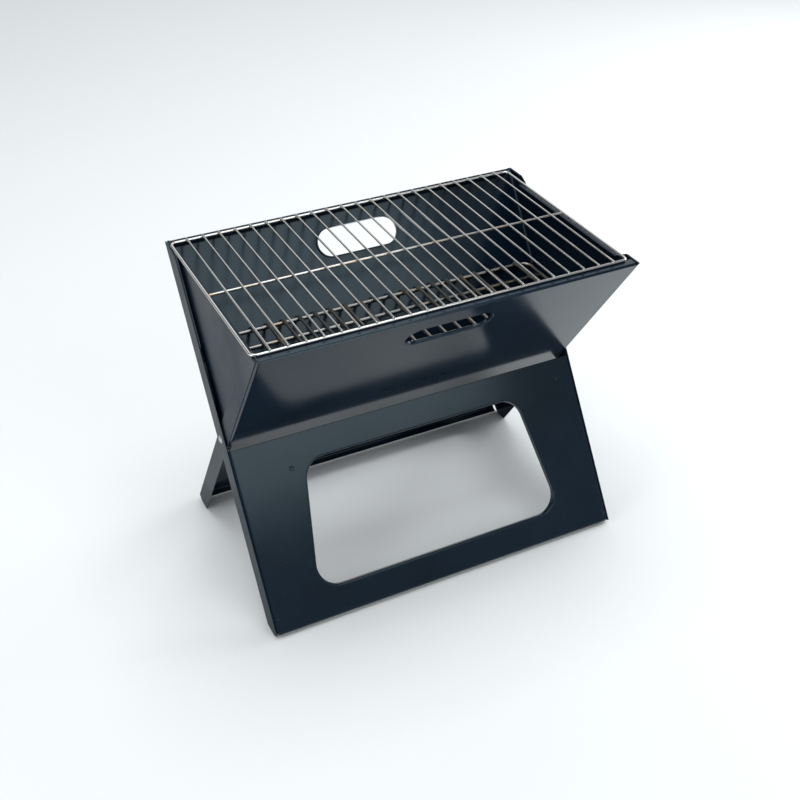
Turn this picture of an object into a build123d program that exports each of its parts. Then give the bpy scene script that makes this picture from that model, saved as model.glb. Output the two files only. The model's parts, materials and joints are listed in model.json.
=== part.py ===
"""Folding camp grill: two sheet-metal panels crossed on one pivot line, with loose end plates and grates.

The frame has +Z up, X along the width, and its origin on the ground under the middle of the grill.
The rear panel leans back: its upper half is the rear wall, its lower half the front leg.
The front panel leans forward and is a little narrower, so that it folds up inside the rear one.
"""

from build123d import *

import os
from math import cos, radians, sin

# Overall sizes, in millimetres and degrees.
rail_span = 450.0
rim_height = 373.0
pivot_height = 190.0
half_angle = radians(34.0)
rail_width = 28.0
leg_reach = 231.2

# Sheet metal.
sheet = 0.8
bend_radius = 3.0
flange_width = 24.0
rail_thickness = 1.2
inner_rail_inset = 1.8
corner_cut = 6.0
corner_relief = 3.0
ground_gap = 1.0

# Across the width, from the outer rail inwards.
outer_rail_face = rail_span / 2
outer_tray_half = outer_rail_face - rail_thickness
washer_thickness = 1.4
turning_gap = 0.1
inner_rail_face = outer_tray_half - washer_thickness - turning_gap
inner_tray_half = inner_rail_face - rail_thickness
end_plate_face = 219.6
end_plate_thickness = 1.0
ledge_half = 217.9

# Firebox walls.
ledge_width = 14.0
wall_foot = 14.0
foot_meeting_gap = 0.4
flange_start = 12.0
slot_length = 102.0
slot_height = 33.0
slot_centre = 188.0
slot_collar = 4.0
slot_bend = 1.6
grip_width = 64.0
grip_depth = 12.0
grip_corner = 6.0
vent_radius = 3.75
vent_pitch = 24.6
vent_count = 4
vent_line = 48.0
vent_rounding = 0.5

# Legs.
leg_head = 15.5
foot_return = 9.0
window_top = 49.0
window_bottom = 197.0
window_top_half = 140.0
window_bottom_half = 163.0
window_corner = 26.0
window_collar = 8.0
window_bend = 2.2
head_rounding = 0.6

# Pivots.
rivet_radius = 2.5
rivet_bore = 2.55
rivet_head_radius = 5.0
rivet_head_height = 2.2
rivet_tail_radius = 4.0
rivet_tail_height = 1.1
washer_radius = 9.0

# Loose plates at the two ends of the firebox.
plate_top_drop = 6.5
plate_edge_inset = 15.0
plate_lip = 5.0
plate_foot_low = 12.0
plate_foot_high = 22.0
plate_foot_inset = 1.9
fit_gap = 0.3

# Cooking grid.
grid_half_width = 217.0
grid_half_depth = 128.2
grid_corner = 6.0
grid_frame_radius = 1.6
grid_bar_radius = 1.2
grid_shift = -5.0
grid_bar_count = 22

# Charcoal grate.
coal_grate_height = 275.0
coal_half_width = 213.0
coal_corner = 12.0
coal_frame_radius = 2.5
coal_bar_radius = 2.0
coal_bar_count = 21
coal_rod_spacing = 70.0

# Worked out from the sizes above.
half_rail = rail_width / 2
inner_half_rail = half_rail - inner_rail_inset
mid_sheet = half_rail - sheet / 2
mid_radius = bend_radius - sheet / 2
long_enough = 300.0


def across(turn, along, out):
    """Side-view point (y, z) of a panel: along its length from the pivot, and out from its middle."""
    y = turn * (along * sin(half_angle) + out * cos(half_angle))
    return (y, pivot_height + along * cos(half_angle) - out * sin(half_angle))


def along_at(height, out):
    """Distance along a panel at which its line at the given offset reaches a height."""
    return (height - pivot_height + out * sin(half_angle)) / cos(half_angle)


def panel_plane(turn):
    """Section plane through the pivot: local x is the width, y points out, and z runs up the panel."""
    up = (0, turn * sin(half_angle), cos(half_angle))
    return Plane(origin=(0, 0, pivot_height), x_dir=(turn, 0, 0), z_dir=up)


def face_plane(turn, out):
    """Plane of a panel's face: local x is the width, and local y runs up the panel."""
    section = panel_plane(turn)
    origin = section.from_local_coords((0, out, 0))
    return Plane(origin=origin, x_dir=-section.x_dir, z_dir=section.y_dir)


def side_strip(points, half_width):
    """A bent sheet drawn in side view as its middle line, extruded across the width."""
    with BuildPart() as strip:
        with BuildSketch(Plane.YZ):
            with BuildLine() as middle:
                FilletPolyline(*points, radius=mid_radius)
            trace(middle.line, line_width=sheet)
        extrude(amount=half_width, both=True)
    return strip.part


def side_flanges(turn, half_width, out, low, high):
    """The two side flanges of a tray with the bends that join them to its face."""
    inward = -1 if out > 0 else 1
    corner = half_width - sheet / 2
    with BuildPart() as flanges:
        with BuildSketch(panel_plane(turn).offset(low)):
            for side in (-1, 1):
                root = (side * (half_width - bend_radius - sheet), out)
                free = (side * corner, out + inward * (flange_width - sheet / 2))
                with BuildLine() as middle:
                    FilletPolyline(root, (side * corner, out), free, radius=mid_radius)
                trace(middle.line, line_width=sheet)
        extrude(amount=high - low)
    return flanges.part


def bend_collar(face, inward, reach, low, high, radius):
    """Round the bend round an opening: its outer edges by the radius, and its inner ones to match."""
    for depth, rounding in ((0, radius), (sheet, radius - sheet)):
        bend = []
        for edge in edges():
            places = [face.to_local_coords(edge @ share) for share in (0, 0.5, 1)]
            if all(
                abs(place.Z - inward * depth) < 0.01 and abs(place.X) < reach and low < place.Y < high
                for place in places
            ):
                bend.append(edge)
        fillet(bend, radius=rounding)


def trim_rim(corner_limit):
    """Cut the part being built level with the rim, and bevel the free top corners nearest the middle."""
    split(bisect_by=Plane.XY.offset(rim_height), keep=Keep.BOTTOM)
    top_edges = edges().filter_by(Axis.X).group_by(Axis.Z)[-1]
    corners = [edge for edge in top_edges if abs(edge.center().Y) < corner_limit]
    chamfer(corners, length=corner_cut)


def make_wall(turn, half_width):
    """Upper half of a panel: wall, grid ledge, side flanges, hand slot, air holes, and a foot below the
    pivot that turns in until it meets the other wall's foot and stops the panels from opening further."""
    rim_line = rim_height - sheet / 2
    rim_corner = across(turn, along_at(rim_line, mid_sheet), mid_sheet)
    rim_outer = across(1, along_at(rim_height, half_rail), half_rail)[0]
    ledge_tip = (turn * (rim_outer - ledge_width), rim_line)
    foot_line = sheet / 2 - wall_foot
    foot = across(turn, foot_line, mid_sheet)
    return_tip = (wall_foot * sin(half_angle) + foot_meeting_gap / 2) / cos(half_angle)
    foot_end = across(turn, foot_line, return_tip)
    open_corner = rim_outer - flange_width

    with BuildPart() as wall:
        add(side_flanges(turn, half_width, mid_sheet, flange_start, long_enough))
        trim_rim(open_corner)
        with BuildSketch(panel_plane(turn).offset(flange_start)):
            with Locations((0, mid_sheet)):
                Rectangle(2 * (half_width - bend_radius), sheet)
        extrude(amount=along_at(rim_line, mid_sheet) - flange_start)
        add(side_strip([ledge_tip, rim_corner, foot, foot_end], ledge_half))

        face = face_plane(turn, half_rail)
        with BuildSketch(face.offset(-sheet / 2)):
            with Locations((0, slot_centre)):
                SlotOverall(slot_length + 2 * sheet, slot_height + 2 * sheet)
        extrude(amount=sheet / 2 - slot_collar)
        with BuildSketch(face):
            with Locations((0, slot_centre)):
                SlotOverall(slot_length, slot_height)
            with Locations((0, vent_line)):
                with GridLocations(vent_pitch, vent_pitch, vent_count, 1):
                    Circle(vent_radius)
        extrude(amount=-half_rail, mode=Mode.SUBTRACT)
        bend_collar(face, -1, slot_length, slot_centre - slot_height, slot_centre + slot_height, slot_bend)
        round_edges = edges().filter_by(GeomType.CIRCLE)
        vent_edges = [edge for edge in round_edges if abs(edge.radius - vent_radius) < 0.01]
        outer_edges = [edge for edge in vent_edges if face.to_local_coords(edge.arc_center).Z > -0.01]
        fillet(outer_edges, radius=vent_rounding)

        with BuildSketch(panel_plane(turn).offset(slot_centre + slot_height / 2)):
            with Locations((0, half_rail - slot_bend)):
                Rectangle(grip_width, grip_depth - slot_bend, align=(Align.CENTER, Align.MAX))
            fillet(vertices().group_by(Axis.Y)[0], radius=grip_corner)
        extrude(amount=sheet)
    return wall.part


def window_outline():
    """Four-cornered window with round corners, wider towards the foot, in a leg's face plane."""
    with BuildSketch() as outline:
        with BuildLine():
            Polyline(
                (-window_top_half, -window_top),
                (window_top_half, -window_top),
                (window_bottom_half, -window_bottom),
                (-window_bottom_half, -window_bottom),
                close=True,
            )
        make_face()
        fillet(outline.vertices(), radius=window_corner)
    return outline.sketch


def make_leg(turn, half_width):
    """Lower half of a panel: face with a flanged window, foot return and side flanges."""
    head = across(turn, -leg_head, -mid_sheet)
    foot = across(turn, -leg_reach + sheet / 2, -mid_sheet)
    foot_end = across(turn, -leg_reach + sheet / 2, -(half_rail - foot_return))

    with BuildPart() as leg:
        add(side_strip([head, foot, foot_end], half_width - bend_radius))
        low = -leg_reach + corner_relief
        add(side_flanges(turn, half_width, -mid_sheet, low, -leg_head))
        split(bisect_by=Plane.XY.offset(ground_gap), keep=Keep.TOP)

        outer_face = face_plane(turn, -half_rail)
        with BuildSketch(outer_face.offset(sheet / 2)):
            add(window_outline())
            offset(amount=sheet)
        extrude(amount=window_collar - sheet / 2)
        with BuildSketch(outer_face):
            add(window_outline())
        extrude(amount=rail_width, mode=Mode.SUBTRACT)
        low, high = -window_bottom - 2 * sheet, -window_top + 2 * sheet
        bend_collar(outer_face, 1, half_width - flange_width / 2, low, high, window_bend)
        head_edges = [
            edge
            for edge in edges().filter_by(Axis.X)
            if abs(outer_face.to_local_coords(edge.center()).Y + leg_head) < 0.01
            and abs(outer_face.to_local_coords(edge.center()).Z) < 0.01
        ]
        fillet(head_edges, radius=head_rounding)
    return leg.part


def make_rail(turn, side, outer_face, half_width):
    """Flat side rail, cut level at the rim and flat on the ground, with the pivot hole."""
    outline = [
        across(turn, -leg_reach, -half_width),
        across(turn, -leg_reach, half_width),
        across(turn, long_enough, half_width),
        across(turn, long_enough, -half_width),
    ]
    inner_corner = across(1, along_at(rim_height, 0), 0)[0]
    with BuildPart() as rail:
        with BuildSketch(Plane.YZ.offset(side * (outer_face - rail_thickness / 2))):
            with BuildLine():
                Polyline(*outline, close=True)
            make_face()
            with Locations((0, pivot_height)):
                Circle(rivet_bore, mode=Mode.SUBTRACT)
        extrude(amount=rail_thickness / 2, both=True)
        trim_rim(inner_corner)
        split(bisect_by=Plane.XY, keep=Keep.TOP)
    return rail.part


def make_rivet(side):
    """Domed rivet through both rails, turned down to a flat tail on the inside."""
    tail_start = inner_tray_half - turning_gap
    half_section = [
        (outer_rail_face + rivet_head_height, 0),
        (tail_start - rivet_tail_height, 0),
        (tail_start - rivet_tail_height, rivet_tail_radius),
        (tail_start, rivet_tail_radius),
        (tail_start, rivet_radius),
        (outer_rail_face, rivet_radius),
        (outer_rail_face, rivet_head_radius),
    ]
    dome_radius = (rivet_head_radius**2 + rivet_head_height**2) / (2 * rivet_head_height)
    axis_plane = Plane(origin=(0, 0, pivot_height), x_dir=(side, 0, 0), z_dir=(0, -side, 0))
    with BuildPart() as rivet:
        with BuildSketch(axis_plane):
            with BuildLine():
                Polyline(*half_section)
                RadiusArc(half_section[-1], half_section[0], dome_radius)
            make_face()
        revolve(axis=Axis((0, 0, pivot_height), (1, 0, 0)))
    return rivet.part


def make_washer(side):
    """Spacer washer between the outer and the inner rail."""
    start = inner_rail_face + turning_gap
    with BuildPart() as washer:
        with BuildSketch(Plane.YZ.offset(side * (start + washer_thickness / 2))):
            with Locations((0, pivot_height)):
                Circle(washer_radius)
                Circle(rivet_bore, mode=Mode.SUBTRACT)
        extrude(amount=washer_thickness / 2, both=True)
    return washer.part


def make_end_plate(side):
    """Three-sided plate that closes one end of the firebox and stands on both walls by two feet."""
    edge = half_rail - plate_edge_inset
    top = rim_height - plate_top_drop
    foot_out = half_rail - plate_foot_inset
    low = pivot_height + plate_foot_low
    high = pivot_height + plate_foot_high
    rear_edge = [
        (0, low),
        across(1, along_at(low, foot_out), foot_out),
        across(1, along_at(high, foot_out), foot_out),
        across(1, along_at(high + plate_edge_inset, edge), edge),
        across(1, along_at(top, edge), edge),
        (0, top),
    ]
    lip_half = rear_edge[-2][0] - plate_edge_inset
    with BuildPart() as plate:
        with BuildSketch(Plane.YZ.offset(side * (end_plate_face - end_plate_thickness / 2))):
            with BuildLine():
                Polyline(*rear_edge)
                mirror(about=Plane.YZ)
            make_face()
        extrude(amount=end_plate_thickness / 2, both=True)
        with BuildSketch(Plane.XY.offset(top - end_plate_thickness)):
            with Locations((side * (end_plate_face - plate_lip / 2), 0)):
                Rectangle(plate_lip, 2 * lip_half)
        extrude(amount=end_plate_thickness)
        outer_top = edges().filter_by(Axis.Y).group_by(Axis.Z)[-1].sort_by(Axis.X)
        fillet(outer_top[-1 if side > 0 else 0], radius=end_plate_thickness * 0.9)
    return plate.part


def wire_loop(half_width, half_depth, corner, radius, height, shift=0.0):
    """Closed loop of round wire with round corners, lying level."""
    with BuildPart() as loop:
        with BuildLine(Plane.XY.offset(height)) as path:
            FilletPolyline(
                (shift + half_width, -half_depth),
                (shift + half_width, half_depth),
                (shift - half_width, half_depth),
                (shift - half_width, -half_depth),
                radius=corner,
                close=True,
            )
        wire = path.wire()
        with BuildSketch(Plane(origin=wire @ 0, z_dir=wire % 0)):
            Circle(radius)
        sweep(path=wire)
    return loop.part


def crossing_bars(count, span, half_depth, radius, height, shift=0.0):
    """Evenly spaced straight wires that run from front to back."""
    pitch = span / (count + 1)
    with BuildPart() as bars:
        with BuildSketch(Plane.XZ):
            with Locations((shift, height)):
                with GridLocations(pitch, pitch, count, 1):
                    Circle(radius)
        extrude(amount=half_depth, both=True)
    return bars.part


def long_rods(places, half_width, radius, height, shift=0.0):
    """Straight wires that run across the width, one at each place from front to back."""
    with BuildPart() as rods:
        with BuildSketch(Plane.YZ.offset(shift)):
            with Locations(*[(place, height) for place in places]):
                Circle(radius)
        extrude(amount=half_width, both=True)
    return rods.part


def save(part, name):
    part.label = name
    export_step(part, f"parts/{name}.step")


os.makedirs("parts", exist_ok=True)

# The rear panel leans back and carries the outer rails.
save(make_wall(1, outer_tray_half), "rear_wall")
save(make_leg(1, outer_tray_half), "front_leg")

# The front panel leans forward and carries the inner rails.
save(make_wall(-1, inner_tray_half), "front_wall")
save(make_leg(-1, inner_tray_half), "rear_leg")

for side, word in ((-1, "left"), (1, "right")):
    save(make_rail(1, side, outer_rail_face, half_rail), f"outer_rail_{word}")
    save(make_rail(-1, side, inner_rail_face, inner_half_rail), f"inner_rail_{word}")
    save(make_rivet(side), f"pivot_rivet_{word}")
    save(make_washer(side), f"pivot_washer_{word}")
    save(make_end_plate(side), f"end_plate_{word}")

# The cooking grid lies loose on the two ledges, a little to the left of the middle.
grid_level = rim_height + grid_frame_radius
bar_level = grid_level + grid_frame_radius + grid_bar_radius
bar_reach = grid_half_depth + grid_bar_radius
cross_reach = grid_half_width - grid_frame_radius
save(wire_loop(grid_half_width, grid_half_depth, grid_corner, grid_frame_radius, grid_level, grid_shift),
     "grid_frame")
save(crossing_bars(grid_bar_count, 2 * grid_half_width, bar_reach, grid_bar_radius, bar_level, grid_shift),
     "grid_bars")
save(long_rods([0], cross_reach, grid_frame_radius, grid_level, grid_shift), "grid_cross_bar")

# The charcoal grate wedges between the two walls, half-way up the firebox.
coal_out = half_rail - sheet - fit_gap - coal_frame_radius
coal_half_depth = across(1, along_at(coal_grate_height, coal_out), coal_out)[0]
coal_bar_level = coal_grate_height + coal_frame_radius + coal_bar_radius
save(wire_loop(coal_half_width, coal_half_depth, coal_corner, coal_frame_radius, coal_grate_height),
     "coal_grate_frame")
save(crossing_bars(coal_bar_count, 2 * coal_half_width, coal_half_depth, coal_bar_radius, coal_bar_level),
     "coal_grate_bars")
save(long_rods([-coal_rod_spacing / 2, coal_rod_spacing / 2], coal_half_width - coal_frame_radius,
               coal_frame_radius, coal_grate_height), "coal_grate_rods")
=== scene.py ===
"""Folding camp grill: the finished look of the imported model, as an add-on that is run as a script.

The metal sheets keep the shape of the CAD nodes, with the cut edges of the side rails rounded off.
The wires, rivets and washers are turned and swept anew, with the weld beads and spot welds that
hold them together.
All sizes are in metres, +Z is up, and the grill stands on the floor at the origin.
"""

import json
from math import cos, pi, radians, sin

import bmesh
import bpy
from mathutils import Matrix, Vector


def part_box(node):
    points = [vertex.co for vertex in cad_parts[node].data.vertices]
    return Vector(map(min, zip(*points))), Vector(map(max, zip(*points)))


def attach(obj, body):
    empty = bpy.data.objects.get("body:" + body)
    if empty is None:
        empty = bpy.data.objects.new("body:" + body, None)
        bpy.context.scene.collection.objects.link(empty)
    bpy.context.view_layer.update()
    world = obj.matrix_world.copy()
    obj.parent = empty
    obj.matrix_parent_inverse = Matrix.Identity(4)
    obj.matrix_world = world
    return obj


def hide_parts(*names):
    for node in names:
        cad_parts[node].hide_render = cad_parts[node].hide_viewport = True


bl_info = {
    "name": "Folding Camp Grill",
    "version": (1, 0, 0),
    "blender": (4, 5, 0),
    "location": "3D View > Sidebar > Camp Grill",
    "description": "Builds the finished pieces, materials and stage of a folding camp grill",
    "category": "Object",
}

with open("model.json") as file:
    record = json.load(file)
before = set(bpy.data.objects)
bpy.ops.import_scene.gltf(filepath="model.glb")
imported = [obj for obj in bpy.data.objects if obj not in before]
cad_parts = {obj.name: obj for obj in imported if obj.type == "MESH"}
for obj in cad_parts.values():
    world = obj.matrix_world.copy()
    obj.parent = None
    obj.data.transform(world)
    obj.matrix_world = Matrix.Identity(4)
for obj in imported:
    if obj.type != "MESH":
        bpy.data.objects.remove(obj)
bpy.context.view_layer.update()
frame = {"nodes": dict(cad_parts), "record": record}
NODE_BODY = {
    node: body for body, nodes in frame["record"]["behaviour"]["bodies"].items() for node in nodes
}
X_AXIS, Z_AXIS = Vector((1, 0, 0)), Vector((0, 0, 1))
PIVOT_HEIGHT = 0.190
HALF_ANGLE = radians(34.0)
HALF_RAIL = 0.014
ENAMEL_SLOT, STEEL_SLOT, CHROME_SLOT = "black_enamel", "bright_steel", "chromed_wire"

SHEET_NODES = (
    "rear_wall", "front_wall", "front_leg", "rear_leg",
    "outer_rail_left", "outer_rail_right", "inner_rail_left", "inner_rail_right",
    "end_plate_left", "end_plate_right",
)

# Angles between faces: above the first an edge is a cut one, and above the second it is not smooth.
CUT_ANGLE, CURVED_ANGLE = radians(35), radians(50)
# Share of the edge rounding under which a face counts as part of a rounded edge.
NARROW_SHARE = 1.2

# Rivets and washers.
HEAD_HEIGHT, TAIL_HEIGHT = 0.0022, 0.0011
TAIL_RADIUS, SHANK_RADIUS, WASHER_BORE = 0.0040, 0.0025, 0.00255
TURNED_ROUND, WASHER_ROUND = 0.00022, 0.0002

# Spot weld dimple: how high its ring stands, how high its middle does, and the rounding between.
DIMPLE_RING, DIMPLE_MIDDLE, DIMPLE_ROUND, DIMPLE_STEPS = 0.00022, 0.00005, 0.0002, 28

# Texture scales, in waves per metre.
PATCH_SCALE, RIPPLE_SCALE, RUB_SCALE, PEEL_SCALE, DUST_SCALE = 9.0, 30.0, 150.0, 420.0, 2300.0
BLOTCH_SCALE, MARK_SCALE = 38.0, 1400.0
BLOOM_SCALE, GRAIN_SCALE = 210.0, 2200.0
DUST_COLOUR = (0.20, 0.22, 0.24, 1.0)
RUBBED_COLOUR = (0.16, 0.17, 0.18, 1.0)
HEAT_COLOUR = (0.50, 0.36, 0.23, 1.0)
SPECULAR_TINT = (0.74, 0.92, 1.0, 1.0)
LIGHT_COLOUR = (0.94, 0.985, 1.0)

# Lights: name, place, target, width, depth and power.
LIGHTS = (
    ("overhead", (0.0, 0.1, 2.8), (0, 0, 0), 2.1, 2.1, 44.0),
    ("left_side", (-2.3, -0.4, 1.0), (0, 0, 0.05), 1.6, 0.9, 17.0),
    ("right_side", (2.3, 0.3, 1.0), (0, 0, 0.05), 1.6, 0.9, 26.0),
    ("far_floor", (1.2, 3.4, 2.4), (0, 1.2, 0), 4.0, 2.5, 28.0),
    ("front_soft", (0.60, -1.9, 1.62), (0, 0, 0.2), 1.1, 1.0, 8.0),
)
FLOOR_RADIUS = 9.0


# ---------------------------------------------------------------------------------------------
# Sizes and colours that a user would change
# ---------------------------------------------------------------------------------------------

class SheetSettings(bpy.types.PropertyGroup):
    """Enamelled sheet metal."""

    edge_round: bpy.props.FloatProperty(
        name="Edge Rounding", description="Most that a cut edge is rounded by",
        default=0.00036, min=0.00005, max=0.001, unit="LENGTH", precision=5)
    merge_distance: bpy.props.FloatProperty(
        name="Merge Distance", description="Distance under which two corners are one",
        default=0.00002, min=0.000001, max=0.0002, unit="LENGTH", precision=6)
    enamel_colour: bpy.props.FloatVectorProperty(
        name="Enamel Colour", description="Colour of the baked enamel",
        subtype="COLOR", size=4, min=0.0, max=1.0, default=(0.0032, 0.0100, 0.0215, 1.0))
    weld_dimple: bpy.props.FloatProperty(
        name="Spot Weld", description="Radius of the dimple of a spot weld",
        default=0.003, min=0.001, max=0.006, unit="LENGTH", precision=4)


class WireSettings(bpy.types.PropertyGroup):
    """Wires of the cooking grid and the charcoal grate."""

    bar_count: bpy.props.IntProperty(
        name="Grid Bars", description="Wires that run from front to back on the cooking grid",
        default=22, min=4, max=60)
    coal_bar_count: bpy.props.IntProperty(
        name="Grate Bars", description="Wires that run from front to back on the charcoal grate",
        default=21, min=4, max=60)
    bar_end_round: bpy.props.FloatProperty(
        name="End Rounding", description="Share of a wire's radius that its cut end is rounded by",
        default=0.55, min=0.05, max=0.9)
    grid_corner: bpy.props.FloatProperty(
        name="Grid Corner", description="Bend radius of the cooking grid's corners",
        default=0.006, min=0.003, max=0.05, unit="LENGTH", precision=4)
    grate_corner: bpy.props.FloatProperty(
        name="Grate Corner", description="Bend radius of the charcoal grate's corners",
        default=0.012, min=0.004, max=0.05, unit="LENGTH", precision=4)
    weld_size: bpy.props.FloatProperty(
        name="Weld Bead", description="Radius of the bead where two wires are welded",
        default=0.0016, min=0.0005, max=0.005, unit="LENGTH", precision=4)
    chrome_colour: bpy.props.FloatVectorProperty(
        name="Chrome Colour", description="Colour of the chromed wire",
        subtype="COLOR", size=4, min=0.0, max=1.0, default=(0.57, 0.56, 0.54, 1.0))
    steel_colour: bpy.props.FloatVectorProperty(
        name="Steel Colour", description="Colour of the rivets and washers",
        subtype="COLOR", size=4, min=0.0, max=1.0, default=(0.56, 0.56, 0.55, 1.0))


class StageSettings(bpy.types.PropertyGroup):
    """Camera, floor and lights."""

    azimuth: bpy.props.FloatProperty(
        name="Azimuth", description="Angle of the camera round the grill",
        default=radians(-26.41), subtype="ANGLE")
    elevation: bpy.props.FloatProperty(
        name="Elevation", description="Angle of the camera above the horizon",
        default=radians(35.21), subtype="ANGLE")
    distance: bpy.props.FloatProperty(
        name="Distance", description="Distance of the camera from its target",
        default=1.403, unit="LENGTH")
    target_height: bpy.props.FloatProperty(
        name="Target Height", description="Height of the point that the camera looks at",
        default=0.173, unit="LENGTH")
    lens: bpy.props.FloatProperty(
        name="Focal Length", description="Focal length on a 36 mm sensor, in millimetres",
        default=52.53, min=10.0, max=300.0)
    floor_colour: bpy.props.FloatVectorProperty(
        name="Floor Colour", description="Colour of the pale floor",
        subtype="COLOR", size=4, min=0.0, max=1.0, default=(0.90, 0.90, 0.90, 1.0))
    world_strength: bpy.props.FloatProperty(
        name="World Strength", description="Brightness of the plain surroundings",
        default=0.34, min=0.0, max=5.0)


# ---------------------------------------------------------------------------------------------
# Places
# ---------------------------------------------------------------------------------------------

def panel_point(turn, x, along, out):
    """Point on a panel: across the width, along it from the pivot, and out from its middle."""
    y = turn * (along * sin(HALF_ANGLE) + out * cos(HALF_ANGLE))
    return Vector((x, y, PIVOT_HEIGHT + along * cos(HALF_ANGLE) - out * sin(HALF_ANGLE)))


def leg_normal(turn):
    """Outward normal of a leg's face."""
    return Vector((0, -turn * cos(HALF_ANGLE), sin(HALF_ANGLE)))


# ---------------------------------------------------------------------------------------------
# Shader nodes
# ---------------------------------------------------------------------------------------------

class Paintbox:
    """A small helper that adds nodes to one material and links them."""

    def __init__(self, name):
        self.material = bpy.data.materials.new(name)
        self.material.use_nodes = True
        self.tree = self.material.node_tree
        self.surface = self.tree.nodes["Principled BSDF"]
        self.place = self.node("ShaderNodeTexCoord").outputs["Object"]

    def node(self, kind, **values):
        """A new node with its properties set."""
        made = self.tree.nodes.new(kind)
        for key, value in values.items():
            setattr(made, key, value)
        return made

    def link(self, source, target):
        self.tree.links.new(source, target)

    def mapped(self, scale):
        """Object coordinates, stretched by scale along each axis."""
        mapping = self.node("ShaderNodeMapping")
        mapping.inputs["Scale"].default_value = scale
        self.link(self.place, mapping.inputs["Vector"])
        return mapping.outputs["Vector"]

    def noise(self, scale, detail=2.0, roughness=0.5, vector=None):
        """Noise of that scale, on Object coordinates unless a vector is given."""
        made = self.node("ShaderNodeTexNoise")
        made.inputs["Scale"].default_value = scale
        made.inputs["Detail"].default_value = detail
        made.inputs["Roughness"].default_value = roughness
        self.link(self.place if vector is None else vector, made.inputs["Vector"])
        return made.outputs["Fac"]

    def ramp(self, source, low, high, start=0.0, end=1.0):
        """Source mapped from low..high to start..end, clamped."""
        made = self.node("ShaderNodeMapRange", clamp=True)
        values = {"From Min": low, "From Max": high, "To Min": start, "To Max": end}
        for name, value in values.items():
            made.inputs[name].default_value = value
        self.link(source, made.inputs["Value"])
        return made.outputs["Result"]

    def combine(self, first, second, operation="ADD"):
        """Sum or product of two numbers or sockets."""
        made = self.node("ShaderNodeMath", operation=operation)
        for socket, value in zip(made.inputs, (first, second)):
            if isinstance(value, (int, float)):
                socket.default_value = value
            else:
                self.link(value, socket)
        return made.outputs[0]

    def mix(self, factor, first, second):
        """Colour mix of two colours or sockets by a factor socket."""
        made = self.node("ShaderNodeMix", data_type="RGBA")
        self.link(factor, made.inputs[0])
        for socket, value in ((made.inputs[6], first), (made.inputs[7], second)):
            if isinstance(value, bpy.types.NodeSocket):
                self.link(value, socket)
            else:
                socket.default_value = value
        return made.outputs[2]

    def bump(self, height, strength, distance, below=None):
        """Bumped normal, on top of another one where it is given."""
        made = self.node("ShaderNodeBump")
        made.inputs["Strength"].default_value = strength
        made.inputs["Distance"].default_value = distance
        self.link(height, made.inputs["Height"])
        if below is not None:
            self.link(below, made.inputs["Normal"])
        return made.outputs["Normal"]

    def set(self, **values):
        """Sets sockets of the surface shader; underscores stand for spaces."""
        for key, value in values.items():
            socket = self.surface.inputs[key.replace("_", " ")]
            if isinstance(value, bpy.types.NodeSocket):
                self.link(value, socket)
            else:
                socket.default_value = value
        return self.material


def scaled(colour, factor):
    """An opaque colour, lighter or darker by a factor."""
    return (*[channel * factor for channel in colour[:3]], 1.0)


def enamel_material(name, colour, roughness=0.16, wear=0.35, ior=1.42):
    """Baked black enamel with a faint blue cast, orange peel, hazy patches, dust and worn spots."""
    paint = Paintbox(name)
    patches = paint.noise(PATCH_SCALE, 3.0, 0.55)
    peel = paint.noise(PEEL_SCALE, 2.0, 0.45)
    ripple = paint.noise(RIPPLE_SCALE, 1.0, 0.4)
    dust = paint.ramp(paint.noise(DUST_SCALE, 1.0, 0.5), 0.69, 0.76)
    haze = paint.ramp(patches, 0.35, 0.7)
    rubbed = paint.ramp(paint.noise(RUB_SCALE, 5.0, 0.7), 0.60, 0.74)
    body = paint.mix(haze, scaled(colour, 0.84), scaled(colour, 1.2))
    speckled = paint.mix(paint.combine(dust, 0.14, "MULTIPLY"), body, DUST_COLOUR)
    coloured = paint.mix(paint.combine(rubbed, wear * 0.1, "MULTIPLY"), speckled, RUBBED_COLOUR)
    gloss = paint.ramp(patches, 0.3, 0.75, roughness * 0.85, roughness * 1.25)
    rough = paint.combine(gloss, paint.combine(rubbed, wear * 0.2, "MULTIPLY"))
    waves = paint.bump(ripple, 0.05, 0.0010)
    normal = paint.bump(peel, 0.07, 0.00016, waves)
    return paint.set(
        Base_Color=coloured, Roughness=rough, Normal=normal, IOR=ior,
        Specular_Tint=SPECULAR_TINT)


def wire_material(name, colour, stretch, roughness=0.17, tint=0.22):
    """Chromed wire, with drawing marks along it and a slight bronze tint from the heat."""
    paint = Paintbox(name)
    marks = paint.noise(MARK_SCALE, 2.0, 0.6, paint.mapped(stretch))
    blotches = paint.noise(BLOTCH_SCALE, 3.0, 0.6)
    stained = paint.ramp(blotches, 0.50, 0.72)
    dull = paint.mix(paint.ramp(marks, 0.3, 0.7), scaled(colour, 0.86), scaled(colour, 1.08))
    warm = paint.mix(paint.combine(stained, tint, "MULTIPLY"), dull, HEAT_COLOUR)
    rough = paint.combine(paint.ramp(marks, 0.25, 0.75, roughness * 0.8, roughness * 1.3),
                          paint.combine(stained, 0.10, "MULTIPLY"))
    normal = paint.bump(marks, 0.10, 0.00008)
    return paint.set(Base_Color=warm, Metallic=1.0, Roughness=rough, Normal=normal)


def steel_material(name, colour, roughness=0.30):
    """Zinc-plated steel with turning marks and a grey bloom."""
    paint = Paintbox(name)
    bloom = paint.noise(BLOOM_SCALE, 4.0, 0.6)
    grain = paint.noise(GRAIN_SCALE, 2.0, 0.5)
    tone = paint.mix(paint.ramp(bloom, 0.35, 0.7), scaled(colour, 0.78), scaled(colour, 1.10))
    rough = paint.ramp(bloom, 0.3, 0.75, roughness * 0.8, roughness * 1.35)
    normal = paint.bump(grain, 0.12, 0.00006)
    return paint.set(Base_Color=tone, Metallic=1.0, Roughness=rough, Normal=normal)


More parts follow.
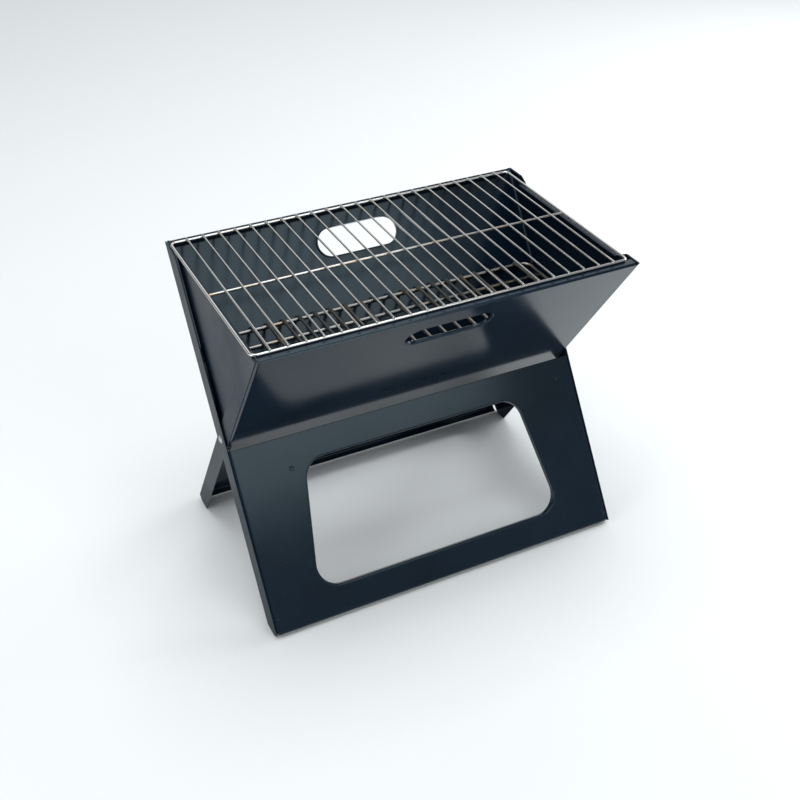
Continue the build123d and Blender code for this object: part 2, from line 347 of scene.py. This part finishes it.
def floor_material(name, colour):
    """Smooth pale studio floor with the faintest mottling."""
    paint = Paintbox(name)
    tone = paint.mix(paint.ramp(paint.noise(3.0, 3.0), 0.3, 0.7), scaled(colour, 0.995), colour)
    rough = paint.ramp(paint.noise(14.0, 2.0), 0.3, 0.7, 0.62, 0.70)
    return paint.set(Base_Color=tone, Roughness=rough)


def material(name, make, *values, **more):
    """The material of that name, made the first time it is asked for."""
    return bpy.data.materials.get(name) or make(name, *values, **more)


# ---------------------------------------------------------------------------------------------
# Mesh helpers
# ---------------------------------------------------------------------------------------------

def finish_mesh(form, name, smooth_angle=radians(40), turn_outwards=True):
    """Turns a bmesh into a linked object with its faces outwards and its curved faces smooth."""
    if turn_outwards:
        bmesh.ops.recalc_face_normals(form, faces=form.faces)
    mesh = bpy.data.meshes.new(name)
    form.to_mesh(mesh)
    form.free()
    mesh.shade_smooth()
    mesh.set_sharp_from_angle(angle=smooth_angle)
    piece = bpy.data.objects.new(name, mesh)
    bpy.context.scene.collection.objects.link(piece)
    return piece


def place_piece(piece, body, slot, finish, *nodes):
    """Gives a piece its material and its body, and hides the nodes it stands for."""
    piece.data.materials.append(finish)
    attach(piece, body)
    if nodes:
        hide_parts(*nodes)
    return piece


def turned_to(direction):
    """Rotation that takes +Z to a direction."""
    return Z_AXIS.rotation_difference(direction).to_matrix().to_4x4()


def add_wire(form, start, end, radius, end_round, segments=14):
    """A straight round wire with both cut ends rounded off."""
    run = end - start
    place = Matrix.Translation((start + end) / 2) @ turned_to(run.normalized())
    made = bmesh.ops.create_cone(
        form, cap_ends=True, cap_tris=False, segments=segments,
        radius1=radius, radius2=radius, depth=run.length, matrix=place)
    faces = {face for vert in made["verts"] for face in vert.link_faces}
    caps = [face for face in faces if len(face.verts) == segments]
    rims = {edge for cap in caps for edge in cap.edges}
    bmesh.ops.bevel(
        form, geom=list(rims), offset=radius * end_round, offset_type="OFFSET", affect="EDGES",
        segments=3, profile=0.5, material=-1, clamp_overlap=True)


def add_loop(form, middle, half_width, half_depth, corner, radius, height,
             segments=16, corner_steps=9):
    """A closed wire loop: one ring drawn along each side and spun round each corner."""
    start = Matrix.Translation((middle + half_width, 0, height)) @ Matrix.Rotation(pi / 2, 4, "X")
    ring = bmesh.ops.create_circle(form, segments=segments, radius=radius, matrix=start)["verts"]
    edges = list({edge for vert in ring for edge in vert.link_edges})
    inner_x, inner_y = half_width - corner, half_depth - corner
    runs = (
        ((0, inner_y, 0), (middle + inner_x, inner_y, height)),
        ((-2 * inner_x, 0, 0), (middle - inner_x, inner_y, height)),
        ((0, -2 * inner_y, 0), (middle - inner_x, -inner_y, height)),
        ((2 * inner_x, 0, 0), (middle + inner_x, -inner_y, height)),
        ((0, inner_y, 0), None),
    )
    for run, centre in runs:
        drawn = bmesh.ops.extrude_edge_only(form, edges=edges)["geom"]
        verts = [item for item in drawn if isinstance(item, bmesh.types.BMVert)]
        edges = [item for item in drawn if isinstance(item, bmesh.types.BMEdge)]
        bmesh.ops.translate(form, verts=verts, vec=run)
        if centre:
            spun = bmesh.ops.spin(
                form, geom=edges, cent=centre, axis=(0, 0, 1), dvec=(0, 0, 0), angle=pi / 2,
                steps=corner_steps, use_merge=False, use_duplicate=False)
            edges = [item for item in spun["geom_last"] if isinstance(item, bmesh.types.BMEdge)]
    bmesh.ops.remove_doubles(form, verts=form.verts, dist=0.00001)


def add_bead(form, centre, radii, rounds=8, rings=5):
    """A flattened bead of weld metal."""
    place = Matrix.Translation(centre) @ Matrix.Diagonal((*radii, 1.0))
    bmesh.ops.create_uvsphere(form, u_segments=rounds, v_segments=rings, radius=1.0, matrix=place)


def add_turned(form, profile, place, corner_round, steps=40):
    """A turned piece: a half-section of (along, radius) points, rounded and spun full round."""
    part = bmesh.new()
    verts = [part.verts.new((radius, 0, along)) for along, radius in profile]
    for pair in zip(verts, verts[1:]):
        part.edges.new(pair)
    bmesh.ops.bevel(
        part, geom=verts[1:-1], offset=corner_round, offset_type="OFFSET", affect="VERTICES",
        segments=3, profile=0.5, material=-1, clamp_overlap=True)
    bmesh.ops.spin(
        part, geom=part.verts[:] + part.edges[:], cent=(0, 0, 0), axis=(0, 0, 1), dvec=(0, 0, 0),
        angle=2 * pi, steps=steps, use_merge=True, use_duplicate=False)
    bmesh.ops.remove_doubles(part, verts=part.verts, dist=0.000005)
    bmesh.ops.transform(part, matrix=place, verts=part.verts)
    mesh = bpy.data.meshes.new("turned")
    part.to_mesh(mesh)
    part.free()
    form.from_mesh(mesh)
    bpy.data.meshes.remove(mesh)


def coated_copy(node, name, edge_round, merge_distance):
    """A copy of a CAD sheet, its corners merged and its cut edges rounded.

    The rounding is clamped by the shortest triangle side beside any cut edge, so it reaches its
    full radius on the plain side rails and next to nothing on the sheets with bends and holes.
    """
    form = bmesh.new()
    form.from_mesh(frame["nodes"][node].data)
    bmesh.ops.remove_doubles(form, verts=form.verts, dist=merge_distance)
    bmesh.ops.dissolve_degenerate(form, edges=form.edges, dist=merge_distance)
    sharp = [edge for edge in form.edges
             if edge.is_manifold and edge.calc_face_angle() > CUT_ANGLE]
    rounded = bmesh.ops.bevel(
        form, geom=sharp, offset=edge_round, offset_type="OFFSET", affect="EDGES",
        segments=2, profile=0.5, material=-1, clamp_overlap=True)
    for face in rounded["faces"]:
        width = face.calc_area() / max(edge.calc_length() for edge in face.edges)
        if width < edge_round * NARROW_SHARE:
            face.material_index = 1
    return finish_mesh(form, name, CURVED_ANGLE, turn_outwards=False)


# ---------------------------------------------------------------------------------------------
# Pieces
# ---------------------------------------------------------------------------------------------

class CAMPGRILL_OT_sheets(bpy.types.Operator):
    """Enamelled walls, legs, side rails and end plates"""

    bl_idname = "campgrill.sheets"
    bl_label = "Enamelled Sheets"

    def execute(self, context):
        sizes = context.scene.campgrill_sheet
        enamel = material("baked_enamel", enamel_material, sizes.enamel_colour)
        edge = material("enamel_edge", enamel_material, scaled(sizes.enamel_colour, 1.7),
                        roughness=0.33, wear=0.6)
        side = material("side_enamel", enamel_material, sizes.enamel_colour,
                        roughness=0.42, wear=0.5, ior=1.27)
        for node in SHEET_NODES:
            piece = coated_copy(node, f"{node}_sheet", sizes.edge_round, sizes.merge_distance)
            finish = side if "rail" in node or "plate" in node else enamel
            place_piece(piece, NODE_BODY[node], ENAMEL_SLOT, finish, node)
            piece.data.materials.append(edge)
            flatten = piece.modifiers.new("flat_faces", "WEIGHTED_NORMAL")
            flatten.mode, flatten.weight, flatten.keep_sharp = "FACE_AREA", 100, True
        return {"FINISHED"}


class CAMPGRILL_OT_spot_welds(bpy.types.Operator):
    """Shallow dimples of the spot welds on the two legs"""

    bl_idname = "campgrill.spot_welds"
    bl_label = "Spot Welds"

    def execute(self, context):
        sizes = context.scene.campgrill_sheet
        enamel = material("baked_enamel", enamel_material, sizes.enamel_colour)
        radius = sizes.weld_dimple
        # Half-section of a dimple: (height above the sheet, distance from its middle).
        section = ((0.0, radius), (DIMPLE_RING, radius * 0.82), (DIMPLE_RING, radius * 0.62),
                   (DIMPLE_MIDDLE + 0.00001, radius * 0.45), (DIMPLE_MIDDLE, 0.0))
        # Each leg's panel turn, and its spots: (across the width, along the panel from the pivot).
        places = {
            "front_leg": (
                1, ((-0.158, -0.053), (0.199, -0.039), (-0.2175, -0.211), (0.2197, -0.219))),
            "rear_leg": (
                -1, ((0.158, -0.053), (-0.199, -0.039), (0.2150, -0.211), (-0.2150, -0.219))),
        }
        for node, (turn, spots) in places.items():
            form = bmesh.new()
            normal = leg_normal(turn)
            for x, along in spots:
                spot = panel_point(turn, x, along, -HALF_RAIL)
                place = Matrix.Translation(spot) @ turned_to(normal)
                add_turned(form, section, place, DIMPLE_ROUND, DIMPLE_STEPS)
            piece = finish_mesh(form, f"{node}_spot_welds")
            place_piece(piece, NODE_BODY[node], ENAMEL_SLOT, enamel)
        return {"FINISHED"}


class CAMPGRILL_OT_rivets(bpy.types.Operator):
    """Domed pivot rivets and the washers between the rails"""

    bl_idname = "campgrill.rivets"
    bl_label = "Rivets and Washers"

    def execute(self, context):
        steel = material("zinc_steel", steel_material, context.scene.campgrill_wire.steel_colour)
        for side, word in ((-1, "left"), (1, "right")):
            direction = X_AXIS * side
            node = f"pivot_rivet_{word}"
            low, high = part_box(node)
            inner = min(abs(low.x), abs(high.x))
            outer = max(abs(low.x), abs(high.x))
            head = (high.z - low.z) / 2
            rail_face = outer - HEAD_HEIGHT
            tail_face = inner + TAIL_HEIGHT
            section = (
                (outer, 0.0), (outer - 0.00010, head * 0.22), (outer - 0.00042, head * 0.46),
                (outer - 0.00105, head * 0.72), (outer - 0.00170, head * 0.90),
                (rail_face + 0.0002, head), (rail_face, head * 0.97), (rail_face, SHANK_RADIUS),
                (tail_face, SHANK_RADIUS), (tail_face, TAIL_RADIUS), (inner, TAIL_RADIUS),
                (inner, 0.0))
            form = bmesh.new()
            place = Matrix.Translation((0, 0, PIVOT_HEIGHT)) @ turned_to(direction)
            add_turned(form, section, place, TURNED_ROUND)
            piece = finish_mesh(form, f"rivet_{word}", CURVED_ANGLE)
            place_piece(piece, NODE_BODY[node], STEEL_SLOT, steel, node)

            node = f"pivot_washer_{word}"
            low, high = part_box(node)
            inner, outer = sorted((abs(low.x), abs(high.x)))
            rim = (high.z - low.z) / 2
            section = ((inner, WASHER_BORE), (inner, rim), (outer, rim), (outer, WASHER_BORE),
                       (inner, WASHER_BORE))
            form = bmesh.new()
            add_turned(form, section, place, WASHER_ROUND)
            piece = finish_mesh(form, f"washer_{word}", CURVED_ANGLE)
            place_piece(piece, NODE_BODY[node], STEEL_SLOT, steel, node)
        return {"FINISHED"}


def bar_places(count, middle, half_width):
    """X places of evenly spaced bars inside a frame."""
    pitch = 2 * half_width / (count + 1)
    return [middle + pitch * (number + 1) - half_width for number in range(count)]


def loop_sizes(node):
    """Middle, half width, half depth, level and wire radius of a wire loop."""
    low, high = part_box(node)
    radius = (high.z - low.z) / 2
    return ((high.x + low.x) / 2, (high.x - low.x) / 2 - radius, high.y - radius,
            (high.z + low.z) / 2, radius)


class CAMPGRILL_OT_cooking_grid(bpy.types.Operator):
    """Chromed cooking grid: frame wire, bars, cross bar and weld beads"""

    bl_idname = "campgrill.cooking_grid"
    bl_label = "Cooking Grid"

    def execute(self, context):
        sizes = context.scene.campgrill_wire
        along_y = material("grid_chrome", wire_material, sizes.chrome_colour, (1.0, 0.03, 1.0))
        # Painted highlight: the frame wire and the weld beads get a copy of the bars' chrome made
        # 1.1 times lighter and a little glossier.
        painted_highlight_frame = material("frame_chrome", wire_material, scaled(sizes.chrome_colour, 1.1),
                               (0.6, 0.6, 1.0), roughness=0.15, tint=0.25)
        middle, half_width, half_depth, level, radius = loop_sizes("grid_frame")
        form = bmesh.new()
        add_loop(form, middle, half_width, half_depth, sizes.grid_corner, radius, level)
        frame_piece = finish_mesh(form, "grid_frame_wire")
        place_piece(frame_piece, "cooking_grid", CHROME_SLOT, painted_highlight_frame, "grid_frame")

        low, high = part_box("grid_bars")
        bar_radius = (high.z - low.z) / 2
        bar_level = (high.z + low.z) / 2
        places = bar_places(sizes.bar_count, middle, half_width)
        form = bmesh.new()
        for x in places:
            add_wire(form, Vector((x, low.y, bar_level)), Vector((x, high.y, bar_level)),
                     bar_radius, sizes.bar_end_round)
        bars = finish_mesh(form, "grid_bar_wires")
        place_piece(bars, "cooking_grid", CHROME_SLOT, along_y, "grid_bars")

        form = bmesh.new()
        low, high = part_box("grid_cross_bar")
        add_wire(form, Vector((low.x, 0, level)), Vector((high.x, 0, level)), radius, 0.2, 18)
        cross = finish_mesh(form, "grid_cross_wire")
        along_x = material("cross_chrome", wire_material, sizes.chrome_colour, (0.03, 1.0, 1.0),
                           roughness=0.2, tint=0.8)
        place_piece(cross, "cooking_grid", CHROME_SLOT, along_x, "grid_cross_bar")

        form = bmesh.new()
        bead = sizes.weld_size
        for x in places:
            for y in (-half_depth, 0.0, half_depth):
                add_bead(form, Vector((x, y, level + radius)), (bead * 0.95, bead, bead * 0.5))
        for side in (-1, 1):
            end = middle + side * (half_width - radius * 0.9)
            add_bead(form, Vector((end, 0, level)), (bead * 0.6, bead, bead * 0.8))
        beads = finish_mesh(form, "grid_weld_beads")
        place_piece(beads, "cooking_grid", CHROME_SLOT, painted_highlight_frame)
        return {"FINISHED"}


class CAMPGRILL_OT_charcoal_grate(bpy.types.Operator):
    """Charcoal grate: frame wire, bars, rods and weld beads"""

    bl_idname = "campgrill.charcoal_grate"
    bl_label = "Charcoal Grate"

    def execute(self, context):
        sizes = context.scene.campgrill_wire
        dull = scaled(sizes.chrome_colour, 0.55)
        finish = material("grate_steel", wire_material, dull, (1.0, 0.05, 1.0),
                          roughness=0.30, tint=0.7)
        middle, half_width, half_depth, level, radius = loop_sizes("coal_grate_frame")
        form = bmesh.new()
        add_loop(form, middle, half_width, half_depth, sizes.grate_corner, radius, level)
        loop = finish_mesh(form, "grate_frame_wire")
        place_piece(loop, "coal_grate", CHROME_SLOT, finish, "coal_grate_frame")

        low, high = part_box("coal_grate_bars")
        bar_radius = (high.z - low.z) / 2
        bar_level = (high.z + low.z) / 2
        places = bar_places(sizes.coal_bar_count, middle, half_width)
        form = bmesh.new()
        for x in places:
            add_wire(form, Vector((x, low.y, bar_level)), Vector((x, high.y, bar_level)),
                     bar_radius, sizes.bar_end_round)
        bars = finish_mesh(form, "grate_bar_wires")
        place_piece(bars, "coal_grate", CHROME_SLOT, finish, "coal_grate_bars")

        low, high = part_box("coal_grate_rods")
        rod_place = high.y - radius
        form = bmesh.new()
        for y in (-rod_place, rod_place):
            add_wire(form, Vector((low.x, y, level)), Vector((high.x, y, level)), radius, 0.2, 16)
        rods = finish_mesh(form, "grate_rod_wires")
        place_piece(rods, "coal_grate", CHROME_SLOT, finish, "coal_grate_rods")

        form = bmesh.new()
        bead = sizes.weld_size * 1.1
        for x in places:
            for y in (-half_depth, -rod_place, rod_place, half_depth):
                add_bead(form, Vector((x, y, level + radius)), (bead, bead, bead * 0.5))
        beads = finish_mesh(form, "grate_weld_beads")
        place_piece(beads, "coal_grate", CHROME_SLOT, finish)
        return {"FINISHED"}


# ---------------------------------------------------------------------------------------------
# Stage
# ---------------------------------------------------------------------------------------------

def add_area_light(name, place, target, width, depth, power):
    """A soft rectangular light aimed at a point."""
    light = bpy.data.lights.new(name, "AREA")
    light.energy, light.color = power, LIGHT_COLOUR
    light.shape, light.size, light.size_y = "RECTANGLE", width, depth
    lamp = bpy.data.objects.new(name, light)
    lamp.location = place
    lamp.rotation_euler = (Vector(target) - Vector(place)).to_track_quat("-Z", "Y").to_euler()
    bpy.context.scene.collection.objects.link(lamp)


def add_world(strength):
    """Plain pale surroundings."""
    world = bpy.data.worlds.new("surroundings")
    bpy.context.scene.world = world
    world.use_nodes = True
    background = world.node_tree.nodes["Background"]
    background.inputs["Color"].default_value = (*LIGHT_COLOUR, 1.0)
    background.inputs["Strength"].default_value = strength


class CAMPGRILL_OT_stage(bpy.types.Operator):
    """Camera, pale floor and soft lights"""

    bl_idname = "campgrill.stage"
    bl_label = "Stage"

    def execute(self, context):
        sizes = context.scene.campgrill_stage
        target = Vector((0.0, 0.0004, sizes.target_height))
        back = Vector((sin(sizes.azimuth) * cos(sizes.elevation),
                       -cos(sizes.azimuth) * cos(sizes.elevation), sin(sizes.elevation)))
        camera = bpy.data.objects.new("camera", bpy.data.cameras.new("camera"))
        camera.data.sensor_width = 36.0
        camera.data.lens = sizes.lens
        camera.location = target + back * sizes.distance
        camera.rotation_euler = (-back).to_track_quat("-Z", "Y").to_euler()
        context.scene.collection.objects.link(camera)
        context.scene.camera = camera

        form = bmesh.new()
        bmesh.ops.create_circle(form, cap_ends=True, segments=96, radius=FLOOR_RADIUS)
        floor = finish_mesh(form, "floor")
        floor.data.materials.append(material("studio_floor", floor_material, sizes.floor_colour))

        add_world(sizes.world_strength)
        for light in LIGHTS:
            add_area_light(*light)
        context.scene.view_settings.view_transform = "Standard"
        context.scene.view_settings.look = "None"
        return {"FINISHED"}


class CAMPGRILL_PT_panel(bpy.types.Panel):
    """Buttons and settings of the camp grill"""

    bl_idname = "CAMPGRILL_PT_panel"
    bl_label = "Camp Grill"
    bl_space_type = "VIEW_3D"
    bl_region_type = "UI"
    bl_category = "Camp Grill"

    def draw(self, context):
        layout = self.layout
        for operator in OPERATORS:
            layout.operator(operator.bl_idname)
        for name in SETTINGS:
            group = getattr(context.scene, name)
            box = layout.box()
            for key in group.bl_rna.properties.keys():
                if key not in {"rna_type", "name"}:
                    box.prop(group, key)


SETTINGS = {
    "campgrill_sheet": SheetSettings,
    "campgrill_wire": WireSettings,
    "campgrill_stage": StageSettings,
}
OPERATORS = (
    CAMPGRILL_OT_sheets,
    CAMPGRILL_OT_spot_welds,
    CAMPGRILL_OT_rivets,
    CAMPGRILL_OT_cooking_grid,
    CAMPGRILL_OT_charcoal_grate,
    CAMPGRILL_OT_stage,
)


def register():
    for group in (*SETTINGS.values(), *OPERATORS, CAMPGRILL_PT_panel):
        bpy.utils.register_class(group)
    for name, group in SETTINGS.items():
        setattr(bpy.types.Scene, name, bpy.props.PointerProperty(type=group))


def unregister():
    for name in SETTINGS:
        delattr(bpy.types.Scene, name)
    for group in reversed((*SETTINGS.values(), *OPERATORS, CAMPGRILL_PT_panel)):
        bpy.utils.unregister_class(group)


def main():
    register()
    bpy.ops.campgrill.sheets()
    bpy.ops.campgrill.spot_welds()
    bpy.ops.campgrill.rivets()
    bpy.ops.campgrill.cooking_grid()
    bpy.ops.campgrill.charcoal_grate()
    bpy.ops.campgrill.stage()


if __name__ == "__main__":
    main()
